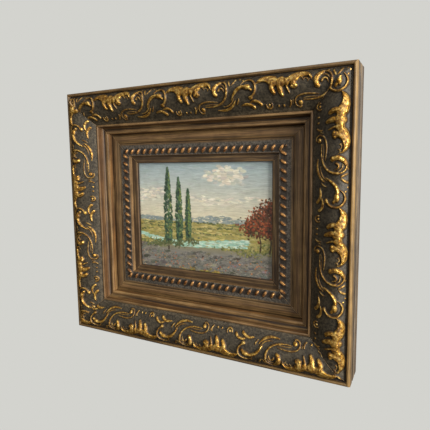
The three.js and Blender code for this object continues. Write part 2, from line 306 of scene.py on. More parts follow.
def sectionRows():
    # rows of [inset, depth, tone, hard edge, kind]: kind 0 is brushed paint, 1 carved field, 2 frieze,
    # 3 bare wood
    m, rows = moulding, []

    def run(points, tone, kind=0, hard=()):
        for i, (inset, depth) in enumerate(points):
            rows.append([inset, depth, tone, i in hard, kind])

    run([(0.12, 2.4), (0.45, 1.4), (0.95, 0.65)], "lip")
    run([(1.6, 0.15), (2.2, 0), (2.8, 0.1)], "lip")
    run([(3.25, 0.45), (3.6, 1.3)], "lipEdge", hard=(1,))
    # near-black quirk tones here and below: painted shade in the grooves
    run([(3.8, 2.2), (4.3, 2.6)], "quirk", kind=1)
    for inset in np.linspace(m["fieldStart"], m["fieldEnd"], m["fieldRows"]):
        tone = "ground" if inset < 36 else "margin"
        rows.append([inset, float(fieldDepth(inset)), tone, inset == m["fieldEnd"], 1])
    run([(39.15, 7.65), (39.5, 7.25), (40.1, 7.0), (40.8, 7.0), (41.4, 7.3)], "arris")
    run([(41.7, 7.8), (41.9, 9.7), (42.0, 11.3), (42.3, 13), (42.8, 14.7)], "hollow", hard=(0,))
    run([(43.6, 15.7), (44.8, 16.0)], "quirk", hard=(0,))
    run([(45.4, 16.1), (46.4, 16.1)], "tread")
    run([(46.7, 15.8), (47.3, 15.65), (48.3, 15.6), (48.9, 15.8)], "treadEdge", hard=(0,))
    run([(49.4, 16.5), (49.6, 18), (49.8, 20.5)], "wall", hard=(0,))
    run([(50, 23)], "quirk", hard=(0,))
    # the cyma's middle takes a lighter tone: a painted highlight along its small crest
    for t in np.linspace(0.1, 0.9, 9):
        depth = 23 - t - 1.5 * 4 * t * (1 - t) + 0.16 * math.cos(t * 6 * math.pi)
        rows.append([50 + 11.7 * t, depth, "cymaEdge" if abs(t - 0.5) < 0.15 else "cyma", False, 0])
    run([(61.3, 22.15), (61.7, 22.0)], "quirk", hard=(1,))
    run([(61.9, 21.6), (62.2, 21.5)], "cyma", hard=(1,))
    run([(64.5, 21.5), (66.4, 21.5)], "frieze", kind=2)
    for inset in np.linspace(*beads["frieze"], beads["rows"]):
        rows.append([inset, 21.5, "frieze", False, 2])
    run([(76, 21.5)], "arris", hard=(0,))
    run([(76.15, 22.2), (76.4, 24.4), (76.55, 25.9)], "arris")
    run([(76.6, 26.1), (78, 26.0), (80.6, 25.8), (82.6, 25.65)], "sight", hard=(0,))
    run([(83.2, 25.6), (84.0, 25.7), (84.5, 25.95)], "sightEdge", hard=(0,))
    run([(84.8, 26.4), (84.8, 27.0), (84.8, 29.1)], "quirk", hard=(0, 2))
    run([(80.8, 29.1)], "rebate", kind=3, hard=(0,))
    run([(80.8, frameDepth), (3.4, frameDepth)], "raw", kind=3, hard=(0,))
    rear = frameDepth - 5.2
    run([(2.1, rear + 4.9), (1.2, rear + 4.5), (0.6, rear + 3.4), (0.2, rear + 2)], "backStrip")
    run([(0, rear), (0, 27.6)], "rearBand", hard=(1,))
    # near-black side grooves: painted shade
    run([(1.1, 26.8), (1.1, 25.4)], "sideQuirk", hard=(0, 1))
    run([(0, 24.6), (0, 20), (0, 17)], "sideBand", hard=(0,))
    run([(0, 15.2), (1.3, 14.4), (1.3, 12.6), (0, 11.6)], "sideQuirk", hard=(0, 1, 2, 3))
    run([(0, 10.2), (0, 7), (0, 3.6)], "lipSide")
    return rows


# Carved ornament: one raster of the repeat, sampled by all four lengths.
def bezier(points, count=26):
    # cubic from four control points: the usual sum of cubes
    t = np.linspace(0, 1, count)[:, None]
    a, b, c, d = np.array(points, dtype=float)
    return a * (1 - t) ** 3 + 3 * b * t * (1 - t) ** 2 + 3 * c * t * t * (1 - t) + d * t ** 3


def arc(centre, radii, angles, count=34):
    # a turn about a centre whose radius runs evenly between two values
    t = np.linspace(0, 1, count)
    angle = np.radians(angles[0] + (angles[1] - angles[0]) * t)
    radius = radii[0] + (radii[1] - radii[0]) * t
    return np.stack([centre[0] + radius * np.cos(angle), centre[1] + radius * np.sin(angle)], axis=1)


# Each form: plan curve in [run, inset], half width, rise, width shares at start, middle and end, veins.
def ornament():
    leaf, stem = 2, 0
    forms = [
        (bezier([(0.2, 12.0), (3.6, 7.4), (10, 5.9), (17.5, 8.6)]), 1.7, 3.9, (0.3, 1, 1), 1),
        (bezier([(52.4, 12.6), (50, 6.0), (40, 4.4), (32.5, 9.4)]), 1.7, 3.9, (0.25, 1, 1), 1),
        (bezier([(16.2, 12), (14.8, 15), (14.8, 19), (17.4, 22.0)]), 2.5, 3.6, (1.1, 1, 0.75), leaf),
        (bezier([(24.0, 11), (22.6, 16), (22.8, 20), (25.2, 24.6)]), 2.8, 3.7, (1.3, 1, 0.55), leaf),
        (bezier([(29.2, 12), (28.8, 17), (30.6, 19), (32.0, 23.4)]), 1.1, 2.6, (1.5, 1, 0.4), stem),
        (bezier([(36.8, 9.5), (36.0, 12), (35.6, 15), (36.4, 17.0)]), 3.0, 3.4, (0.9, 1, 1.05), leaf),
        (arc((63.2, 14.6), (6.9, 6.7), (138, 262)), 2.3, 2.9, (0.85, 1.08, 0.45), leaf),
        (arc((63.2, 14.4), (7.6, 7.1), (232, 362)), 0.85, 2.1, (0.9, 1.0, 0.9), stem),
        (arc((63.4, 15.0), (4.9, 4.6), (250, 352)), 0.6, 1.5, (0.5, 1.0, 0.7), stem),
        (
            bezier([(70.0, 14.2), (70.8, 25), (60.9, 31.6), (44, 29.4)], 40), 1.2, 2.0, (1.2, 0.8, 0.2),
            stem,
        ),
        (
            bezier([(61.4, 15.6), (62.6, 12.2), (66.2, 12.4), (67.0, 17.4)]), 1.0, 1.9, (1.1, 0.9, 0.3),
            stem,
        ),
        (
            bezier([(74.2, 25.2), (79.4, 14.6), (86.6, 10.4), (95.6, 17.4)], 40), 2.7, 3.1,
            (0.12, 0.62, 0.5), leaf,
        ),
        (arc((92.0, 16), (8.3, 8.1), (208, 440), 48), 1.05, 2.5, (0.3, 1.0, 1.0), stem),
        (bezier([(57.4, 33.2), (68, 35.4), (75, 31.4), (77.9, 26)]), 1.35, 1.6, (0.3, 1, 0.35), leaf),
        (bezier([(64, 30.6), (71, 30.6), (75.4, 27.6), (77, 22.4)]), 0.75, 1.2, (0.4, 1, 0.4), stem),
        (bezier([(78.8, 29.6), (80.8, 28), (82, 26), (82, 24)]), 0.85, 1.3, (0.3, 1, 0.4), stem),
        (bezier([(83.6, 31), (88, 29.2), (93, 29.4), (96.6, 33.2)]), 1.6, 1.9, (0.2, 0.85, 1.05), leaf),
        (
            bezier([(92.6, 28.9), (97, 26.6), (101.4, 27), (104.2, 31.2)]), 1.45, 1.9, (0.2, 0.9, 1.05),
            leaf,
        ),
        (arc((41.2, 32.2), (2.7, 6.3), (77, 262), 40), 0.75, 1.3, (1, 1, 0.9), stem),
        (bezier([(40.3, 26.1), (44, 24.2), (51, 24.7), (58.4, 25.8)]), 0.75, 1.2, (1, 1, 0.4), stem),
        (bezier([(44, 28.4), (50, 26.8), (57, 28.4), (64, 28)]), 0.55, 0.8, (0.5, 1, 0.3), stem),
        (arc((11.2, 32.2), (2.9, 2.9), (-40, 190), 30), 0.9, 1.5, (0.5, 1, 0.9), stem),
        (
            bezier([(70.6, 6.9), (71.4, 8.6), (72.3, 10.2), (73.2, 11.4)], 12), 0.95, 1.4, (0.7, 1, 0.6),
            leaf,
        ),
        (bezier([(78.1, 6.4), (77.4, 8.2), (76.2, 9.8), (74.9, 11)], 12), 0.95, 1.4, (0.9, 1, 0.6), leaf),
        (arc((42.4, 12.6), (2.1, 2.1), (180, 350), 16), 0.6, 1.0, (0.8, 1, 0.8), stem),
        (arc((46.8, 13.2), (1.9, 1.9), (180, 350), 16), 0.6, 1.0, (0.8, 1, 0.8), stem),
        (arc((51.0, 14.4), (1.8, 1.8), (180, 350), 16), 0.6, 0.9, (0.8, 1, 0.8), stem),
        (
            bezier([(31.8, 29), (32.8, 30.4), (32.6, 32.4), (30.6, 34.6)], 14), 0.85, 1.4, (0.5, 1, 0.7),
            leaf,
        ),
        (bezier([(34.6, 28.6), (33.9, 30), (33.9, 31), (34.3, 32)], 12), 0.5, 1.0, (0.6, 1, 0.6), stem),
    ]
    domes = [  # centre, half sizes, rise
        ((91.4, 14.5), (4.3, 2.7), 3.4), ((94.6, 24.3), (2.4, 1.9), 2.5), ((41.2, 32.0), (2.3, 2.3), 2.4),
        ((11.2, 32.2), (1.25, 1.25), 1.4), ((20.4, 33.4), (0.8, 1.25), 1.2), ((25.5, 33.4), (0.8, 1.25), 1.2),
        ((57.2, 18.8), (2.3, 2.2), 2.8), ((34.9, 17.9), (1.9, 1.8), 3.5), ((38.3, 17.4), (1.8, 1.8), 3.4),
        ((86.2, 7.6), (0.9, 0.8), 0.9), ((66.0, 6.2), (0.8, 0.7), 0.7), ((82.4, 6.0), (0.8, 0.6), 0.7),
    ]
    return forms, domes


# The leaf mass that the spray's fingers hang from: its upper edge and its hem, as [run, inset].
canopy = {
    "upper": [
        (0.9, 11.6), (5.1, 7.4), (9.3, 5.8), (16.4, 5.9), (20.1, 7.8), (24.9, 8.6), (29.2, 8.4),
        (33.4, 7.0), (37.7, 5.6), (43.3, 5.1), (47.6, 5.8), (51.6, 9.2),
    ],
    "hem": [
        (0.9, 12.2), (5.1, 11.4), (9.3, 12.2), (12.7, 15.0), (16.0, 18.4), (19.6, 16.6), (23.8, 20.0),
        (27.8, 16.6), (30.5, 18.0), (33.4, 14.6), (38.6, 14.8), (41.0, 11.6), (46.2, 10.2), (51.6, 9.7),
    ],
    "rise": 3.9, "ribPitch": 3.4,
}


def canopyBody(x, y):
    # a steep upper edge, a crest, then a slope to a sharp hem; ribs fan out from the middle
    upper = np.interp(x, *np.array(canopy["upper"]).T)
    hem = np.interp(x, *np.array(canopy["hem"]).T)
    depth = np.maximum(hem - upper, 1e-6)
    v = (y - upper) / depth
    body = step(0, 0.3, v) * (1 - 0.34 * np.clip(v, 0, 1)) * step(1.0, 0.84, v)
    fan = (x - 24) * (1 - 0.25 * v)
    ribs = 1 - 0.13 * (0.5 + 0.5 * np.cos(fan * 2 * np.pi / canopy["ribPitch"])) * step(0.25, 0.7, v)
    return np.where((v > 0) & (v < 1), body * ribs, 0) * step(0, 3.2, depth) ** 0.6


def blurred(grid, radius):
    # three box means in each direction; the run wraps round and the insets stop at the edge
    for _ in range(3):
        grid = np.mean([np.roll(grid, k, axis=1) for k in range(-radius, radius + 1)], axis=0)
        padded = np.pad(grid, ((radius, radius), (0, 0)), mode="edge")
        grid = np.mean([padded[k:k + grid.shape[0]] for k in range(2 * radius + 1)], axis=0)
    return grid


def widthShare(t, shares):
    # a half sine from each end's share up to the middle's
    swell = np.sin(t * np.pi)
    return np.where(
        t < 0.5, shares[0] + (shares[1] - shares[0]) * swell, shares[2] + (shares[1] - shares[2]) * swell,
    )


def carveRaster():
    # height, gilding and painted shade over one repeat, on a fine grid; a form's section is a rounded ridge
    m = moulding
    runs = np.arange(0, m["period"], m["rasterStep"])
    insets = np.arange(4.0, 39.6, m["rasterStep"])
    height = np.zeros((len(insets), len(runs)))
    gilding = np.zeros_like(height)
    forms, domes = ornament()

    def raise_(rows, columns, rise, shine):
        block = np.ix_(rows, columns % len(runs))
        gilding[block] = np.where(
            rise > height[block], np.maximum(shine, gilding[block] * 0.6), gilding[block],
        )
        height[block] = np.maximum(height[block], rise)

    def window(low, high):
        columns = np.arange(int(low[0] / m["rasterStep"]) - 1, int(high[0] / m["rasterStep"]) + 2)
        rows = np.flatnonzero((insets > low[1]) & (insets < high[1]))
        return rows, columns, *np.meshgrid(columns * m["rasterStep"], insets[rows])

    for curve, half, rise, shares, kind in forms:
        reach = half * max(shares) * 1.15
        rows, columns, x, y = window(curve.min(0) - reach, curve.max(0) + reach)
        best = np.full(x.shape, 1e9)
        along = np.zeros_like(x)
        side = np.zeros_like(x)
        for k in range(len(curve) - 1):
            a, edge = curve[k], curve[k + 1] - curve[k]
            share = np.clip(((x - a[0]) * edge[0] + (y - a[1]) * edge[1]) / (edge @ edge), 0, 1)
            dx, dy = x - a[0] - share * edge[0], y - a[1] - share * edge[1]
            distance = np.hypot(dx, dy)
            near = distance < best
            best = np.where(near, distance, best)
            along = np.where(near, (k + share) / (len(curve) - 1), along)
            side = np.where(near, np.sign(edge[0] * dy - edge[1] * dx), side)
        width = half * widthShare(along, shares)
        off = np.clip(best / width, 0, 1)
        body = (1 - off ** 2.4) ** 0.62
        if kind:                                   # leaves: a fold off the middle and fine veins beside it
            signed = off * side
            body = body * (1 - 0.16 * np.exp(-((signed - 0.12) / 0.13) ** 2))
            body = body * (1 - 0.07 * (1 + np.cos(signed * kind * 9.5)) * step(0.05, 0.3, off))
        lift = rise * np.sqrt(widthShare(along, shares) / max(shares)) * body
        shine = step(0.3, 0.75, body) if kind else step(0.6, 0.95, body)
        # fine stems take less gold than leaves
        raise_(rows, columns, lift, shine * min(1.0, 0.2 + 0.45 * half))
    for centre, halves, rise in domes:
        rows, columns, x, y = window(np.array(centre) - halves, np.array(centre) + halves)
        body = np.sqrt(
            np.clip(1 - ((x - centre[0]) / halves[0]) ** 2 - ((y - centre[1]) / halves[1]) ** 2, 0, 1)
        )
        raise_(rows, columns, rise * body, step(0.4, 0.85, body))
    rows, columns, x, y = window(np.array((0.0, 4.5)), np.array((53.0, 21.0)))
    body = canopyBody(x, y)
    raise_(rows, columns, canopy["rise"] * body, step(0.12, 0.5, body))
    wide, near = blurred(height, 4), blurred(height, 2)
    crest = step(-0.1, 0.55, height - blurred(height, 7))
    # painted shade: darker where the surface lies below its wider blur, round the foot of each raised form
    cavityShade = np.clip((wide - height) / 0.4, 0, 1)
    gilding *= np.clip(0.75 + (height - near) / 0.5, 0, 1) * (0.62 + 0.38 * crest)
    return runs, insets, height, gilding, cavityShade


def sampled(raster, run, inset):
    # bilinear look-up that wraps along the run and stops at the raster's insets
    runs, insets, *fields = raster
    s = moulding["rasterStep"]
    x = (run / s) % len(runs)
    y = np.clip((inset - insets[0]) / s, 0, len(insets) - 1.001)
    x0, y0 = np.floor(x).astype(int) % len(runs), np.floor(y).astype(int)
    x1, y1 = (x0 + 1) % len(runs), y0 + 1
    fx, fy = x - np.floor(x), y - y0
    corners = (
        (y0, x0, (1 - fx) * (1 - fy)), (y0, x1, fx * (1 - fy)), (y1, x0, (1 - fx) * fy),
        (y1, x1, fx * fy),
    )
    return [sum(grid[row, column] * share for row, column, share in corners) for grid in fields]


def beadLift(run, inset, length):
    # slanted ellipsoids in a row, spaced from the middle of the length: the root of one minus both squares
    b = beads
    shift = (run - length / 2 + b["pitch"] / 2) % b["pitch"] - b["pitch"] / 2
    across = inset - b["centre"]
    turn = math.radians(b["slant"])
    u = (shift * math.cos(turn) - across * math.sin(turn)) / (b["length"] / 2)
    v = (shift * math.sin(turn) + across * math.cos(turn)) / (b["width"] / 2)
    return np.sqrt(np.clip(1 - u * u - v * v, 0, 1)) * (1 - 0.12 * np.cos(v * 5))


def placeOnSide(side, run, inset, depth, length):
    # run clockwise along the outer edge, inset inwards, depth behind the lip, into the row's frame
    low, high = railSpan
    y = lipFront + depth
    if side == "top":
        x, z = low[0] + run, high[2] - inset
    elif side == "right":
        x, z = high[0] - inset, high[2] - run
    elif side == "bottom":
        x, z = high[0] - run, low[2] + inset
    else:
        x, z = low[0] + inset, low[2] + run
    return np.stack([x, y, z], axis=-1)


def spanOfRails():
    corners = np.array([[*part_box(f"rail_{side}")] for side in ("top", "right", "bottom", "left")]) / mm
    return corners[:, 0].min(0), corners[:, 1].max(0)


railSpan = spanOfRails()


def makeRail(side, raster, materials):
    m = moulding
    rows = sectionRows()
    inset = np.array([row[0] for row in rows])[:, None]
    depth = np.array([row[1] for row in rows])[:, None]
    kind = np.array([row[4] for row in rows])[:, None]
    # painted light: the right-hand lip faces the window light, so it takes a lighter tone than the other
    # three
    litLip = {"lip": "lipLitRight"} if side == "right" else {}
    toneGrid = np.array([linear(tones[litLip.get(row[2], row[2])]) for row in rows])
    low, high = railSpan
    length = high[0] - low[0] if side in ("top", "bottom") else high[2] - low[2]
    columns = int(length * m["columnsPerMm"])
    t = np.linspace(0, 1, columns)[None, :]
    run = inset + m["mitreGap"] + t * (length - 2 * inset - 2 * m["mitreGap"])
    insetGrid = np.broadcast_to(inset, run.shape)
    lift, gilding, cavityShade = sampled(raster, run - m["starts"][side], insetGrid)
    fade = step(4.2, 5.4, insetGrid) * step(39.0, 37.6, insetGrid) * (kind == 1)
    lift, gilding, cavityShade = lift * fade, gilding * fade, cavityShade * fade
    beadBody = beadLift(run, insetGrid, length) * (kind == 2)
    y = depth - lift - beadBody * beads["rise"]
    y = np.maximum(y, m["frontLimit"])
    gilding = np.maximum(gilding, step(0.4, 0.85, beadBody))
    nearBead = (np.abs(insetGrid - beads["centre"]) < 3.4) & (kind == 2)
    # painted shade in the gaps round each bead
    cavityShade = np.maximum(cavityShade, nearBead * step(0.45, 0.1, beadBody) * 0.8)
    copper = (nearBead * 1.0)
    points = placeOnSide(side, run, insetGrid, y, length) * mm
    path = np.concatenate([[0], np.cumsum(np.hypot(np.diff(inset[:, 0]), np.diff(depth[:, 0])))])
    uv = np.stack(np.broadcast_arrays(0.01 + 0.98 * t, 0.01 + 0.84 * (path / path[-1])[:, None]), axis=-1)
    mesh = gridMesh(
        f"rail_{side}", points, uv, True, np.array([row[3] for row in rows]),
        np.array([1 if row[4] == 3 else 0 for row in rows]), True,
        {"gilding": gilding, "copper": copper * np.ones_like(run), "carved": (kind > 0) * np.ones_like(run),
         "lift": np.clip(lift / 1.2 + beadBody * 2, 0, 1), "cavityShade": cavityShade},
        {"tone": np.broadcast_to(toneGrid[:, None, :], (*run.shape, 3))},
    )
    addPiece(f"carved_length_{side}", mesh, f"rail_{side}", materials)


# Finishes of the moulding.
def wornGilt(name, grainStretch):
    # Gesso over wood, toned grey-brown, with gold size and bronze powder rubbed on the high parts, an umber
    # wash on the flanks of raised forms and painted shade in the low ones. The eye sees dull ground, warm
    # metal on the crests, dark brown edges.
    material, tree = newMaterial(name)
    place = addNode(tree, "ShaderNodeTexCoord").outputs["Object"]
    tone = addNode(tree, "ShaderNodeAttribute", attribute_name="tone").outputs["Color"]
    gilding = addNode(tree, "ShaderNodeAttribute", attribute_name="gilding").outputs["Fac"]
    copper = addNode(tree, "ShaderNodeAttribute", attribute_name="copper").outputs["Fac"]
    carved = addNode(tree, "ShaderNodeAttribute", attribute_name="carved").outputs["Fac"]
    lift = addNode(tree, "ShaderNodeAttribute", attribute_name="lift").outputs["Fac"]
    cavityShade = addNode(tree, "ShaderNodeAttribute", attribute_name="cavityShade").outputs["Fac"]
    # brush marks along the length
    long = addNode(
        tree, "ShaderNodeTexNoise",
        {
            "Vector": addNode(tree, "ShaderNodeMapping", {"Vector": place, "Scale": grainStretch}),
            "Scale": 1 / (1.4 * mm), "Detail": 3, "Roughness": 0.6,
        },
    )
    short = addNode(
        tree, "ShaderNodeTexNoise",
        {
            "Vector": addNode(tree, "ShaderNodeMapping", {"Vector": place, "Scale": grainStretch}),
            "Scale": 1 / (2.4 * mm), "Detail": 4, "Roughness": 0.55,
        },
    )
    # uneven rubbing, 14 mm
    patches = addNode(
        tree, "ShaderNodeTexNoise",
        {"Vector": place, "Scale": 1 / (14 * mm), "Detail": 3, "Roughness": 0.55},
    )
    # sanded ground, clots of 2 mm
    grit = addNode(
        tree, "ShaderNodeTexNoise",
        {"Vector": place, "Scale": 1 / (2.3 * mm), "Detail": 5, "Roughness": 0.8},
    )
    # breaks in the gilding, 2 mm
    fleck = addNode(
        tree, "ShaderNodeTexNoise",
        {"Vector": place, "Scale": 1 / (1.8 * mm), "Detail": 4, "Roughness": 0.7},
    )

    dragged = addNode(
        tree, "ShaderNodeMix",
        {
            0: addNode(
                tree, "ShaderNodeMapRange",
                {"Value": long, "From Min": 0.44, "From Max": 0.58, "To Min": 0.0, "To Max": 0.62},
                interpolation_type="SMOOTHSTEP",
            ),
            6: tone, 7: colour("#2e2012"),
        },
        data_type="RGBA",
    ).outputs[2]
    rubbed = addNode(
        tree, "ShaderNodeMix",
        {
            0: addNode(
                tree, "ShaderNodeMapRange",
                {"Value": short, "From Min": 0.5, "From Max": 0.7, "To Min": 0.0, "To Max": 0.5},
                interpolation_type="SMOOTHSTEP",
            ),
            6: dragged, 7: colour("#a08253"),
        },
        data_type="RGBA",
    ).outputs[2]
    plain = addNode(tree, "ShaderNodeMix", {0: carved, 6: rubbed, 7: tone}, data_type="RGBA").outputs[2]
    speck = addNode(
        tree, "ShaderNodeMapRange",
        {"Value": grit, "From Min": 0.4, "From Max": 0.6, "To Min": 0.35, "To Max": 1.5},
        interpolation_type="SMOOTHSTEP",
    )
    speckled = addNode(
        tree, "ShaderNodeVectorMath", {0: plain, 1: speck}, operation="MULTIPLY",
    ).outputs[0]
    textured = addNode(
        tree, "ShaderNodeMix", {0: carved, 6: plain, 7: speckled}, data_type="RGBA",
    ).outputs[2]
    uneven = addNode(
        tree, "ShaderNodeMix",
        {
            0: addNode(
                tree, "ShaderNodeMapRange",
                {"Value": patches, "From Min": 0.35, "From Max": 0.7, "To Min": 0.0, "To Max": 0.3},
                interpolation_type="SMOOTHSTEP",
            ),
            6: textured, 7: colour("#4a4238"),
        },
        data_type="RGBA", blend_type="MULTIPLY",
    ).outputs[2]
    # umber wash on the flanks of each raised form; painted shade at its foot and in the gaps between the
    # beads
    low = addNode(
        tree, "ShaderNodeMath",
        {0: lift, 1: addNode(tree, "ShaderNodeMath", {0: 1.0, 1: gilding}, operation="SUBTRACT")},
        operation="MULTIPLY",
    )
    flank = addNode(
        tree, "ShaderNodeMix",
        {
            0: addNode(tree, "ShaderNodeMath", {0: low, 1: 0.8}, operation="MULTIPLY"), 6: uneven,
            7: colour("#4a2f12"),
        },
        data_type="RGBA",
    ).outputs[2]
    shadedHollows = addNode(
        tree, "ShaderNodeMix",
        {
            0: addNode(tree, "ShaderNodeMath", {0: cavityShade, 1: 0.85}, operation="MULTIPLY"), 6: flank,
            7: colour("#1d1309"),
        },
        data_type="RGBA",
    ).outputs[2]

    wear = addNode(
        tree, "ShaderNodeMapRange",
        {"Value": fleck, "From Min": 0.32, "From Max": 0.55, "To Min": 0.4, "To Max": 1.0},
        interpolation_type="SMOOTHSTEP",
    )
    cover = addNode(tree, "ShaderNodeMath", {0: gilding, 1: wear}, operation="MULTIPLY")
    leafTone = addNode(
        tree, "ShaderNodeValToRGB",
        {
            "Fac": addNode(
                tree, "ShaderNodeTexNoise",
                {"Vector": place, "Scale": 1 / (2.6 * mm), "Detail": 4, "Roughness": 0.55},
            )
        },
        [[0.34, "#6b4413"], [0.5, "#b9882f"], [0.64, "#f0cb72"]],
    )
    copperLeaf = addNode(
        tree, "ShaderNodeValToRGB",
        {
            "Fac": addNode(
                tree, "ShaderNodeTexNoise",
                {"Vector": place, "Scale": 1 / (3.5 * mm), "Detail": 3, "Roughness": 0.55},
            )
        },
        [[0.35, "#7a4520"], [0.65, "#e3ab68"]],
    )
    metalTone = addNode(
        tree, "ShaderNodeMix", {0: copper, 6: leafTone, 7: copperLeaf}, data_type="RGBA",
    ).outputs[2]
    base = addNode(
        tree, "ShaderNodeMix", {0: cover, 6: shadedHollows, 7: metalTone}, data_type="RGBA",
    ).outputs[2]
    metal = addNode(tree, "ShaderNodeMath", {0: cover, 1: 0.9}, operation="MULTIPLY")
    rough = addNode(
        tree, "ShaderNodeMapRange",
        {"Value": cover, "From Min": 0.0, "From Max": 1.0, "To Min": 0.55, "To Max": 0.29},
        interpolation_type="SMOOTHSTEP",
    )

    bumpHeight = addNode(
        tree, "ShaderNodeMath",
        {
            0: addNode(tree, "ShaderNodeMath", {0: grit, 1: carved}, operation="MULTIPLY"),
            1: addNode(
                tree, "ShaderNodeMath",
                {0: long, 1: addNode(tree, "ShaderNodeMath", {0: 1.0, 1: carved}, operation="SUBTRACT")},
                operation="MULTIPLY",
            ),
        },
        operation="ADD",
    )
    bump = addNode(tree, "ShaderNodeBump", {"Strength": 0.7, "Distance": 0.6 * mm, "Height": bumpHeight})
    shader = addNode(tree, "ShaderNodeBsdfPrincipled", {
        "Base Color": base, "Metallic": metal, "Roughness": rough, "Normal": bump,
        "Coat Weight": 0.04, "Coat Roughness": 0.35, "Specular IOR Level": 0.38,
    })
    addNode(tree, "ShaderNodeOutputMaterial", {"Surface": shader})
    return material


def bareWood(name, grainStretch):
    # Planed softwood left bare behind the picture: pale tan, darker lines along the length.
    material, tree = newMaterial(name)
    place = addNode(tree, "ShaderNodeTexCoord").outputs["Object"]
    grain = addNode(
        tree, "ShaderNodeTexNoise",
        {
            "Vector": addNode(tree, "ShaderNodeMapping", {"Vector": place, "Scale": grainStretch}),
            "Scale": 1 / (1.6 * mm), "Detail": 5, "Roughness": 0.55,
        },
    )
    patches = addNode(
        tree, "ShaderNodeTexNoise",
        {"Vector": place, "Scale": 1 / (30 * mm), "Detail": 2, "Roughness": 0.55},
    )
    base = addNode(
        tree, "ShaderNodeValToRGB", {"Fac": grain},
        [[0.3, "#8a6b45"], [0.5, "#b0936a"], [0.7, "#c5ab82"]],
    )
    stained = addNode(
        tree, "ShaderNodeMix",
        {
            0: addNode(
                tree, "ShaderNodeMapRange",
                {"Value": patches, "From Min": 0.4, "From Max": 0.7, "To Min": 0.0, "To Max": 0.35},
                interpolation_type="SMOOTHSTEP",
            ),
            6: base, 7: colour("#8c7452"),
        },
        data_type="RGBA", blend_type="MULTIPLY",
    ).outputs[2]
    bump = addNode(tree, "ShaderNodeBump", {"Strength": 0.3, "Distance": 0.2 * mm, "Height": grain})
    shader = addNode(tree, "ShaderNodeBsdfPrincipled", {
        "Base Color": stained, "Roughness": 0.78, "Normal": bump,
    })
    addNode(tree, "ShaderNodeOutputMaterial", {"Surface": shader})
    return material


acrossRun = 0.03                                   # grain runs about thirty times longer than it is wide
alongX = (acrossRun, 1, 1)
alongZ = (1, 1, acrossRun)
giltLevel, giltUpright = (
    wornGilt("rubbed gilt on gesso, level", alongX), wornGilt("rubbed gilt on gesso, upright", alongZ),
)
woodLevel, woodUpright = (
    bareWood("bare planed softwood, level", alongX), bareWood("bare planed softwood, upright", alongZ),
)

raster = carveRaster()
print("ornament carved")
for side in ("top", "right", "bottom", "left"):
    level = side in ("top", "bottom")
    makeRail(side, raster, [giltLevel, woodLevel] if level else [giltUpright, woodUpright])
    print("length", side, "made")

# The painted board: a landscape of no real place, with poplars by a stream, a far ridge, a low copse
# and a stony bank.

painting = {
    "columns": 318, "rows": 236, "relief": 0.34, "seed": 23,
    "sky": ["#9db3bb", "#b7c4c2", "#d3d3c2", "#e0d8ba"],
    "cloud": ["#ece6d2", "#dcd8c6", "#c3c6bd"],
    "ridge": ["#8d9c9b", "#9aa59c", "#7f8f93"],
    "meadow": ["#b4a762", "#9f9852", "#c7b774", "#a8a268", "#8b8a4c"],
    "hedge": ["#5c6541", "#4b5738", "#6d7449"],
    "water": ["#a6d2bd", "#bfe0cd", "#8fbfae", "#cfe4d6"],
    "bank": ["#84827c", "#73726e", "#9a9890", "#66665f", "#8d8674", "#55574f"],
    "fleck": ["#cb7238", "#d58d4b", "#a8512d"],
    "poplar": ["#26392e", "#2f4a3a", "#3f5d45", "#557350", "#7f8f4c"],
    "copse": ["#3a2318", "#5d2f1d", "#803f24", "#9c4d2b", "#4a3d22", "#b5633a"],
    "grass": ["#7c7f45", "#969052", "#5f6a40"],
}


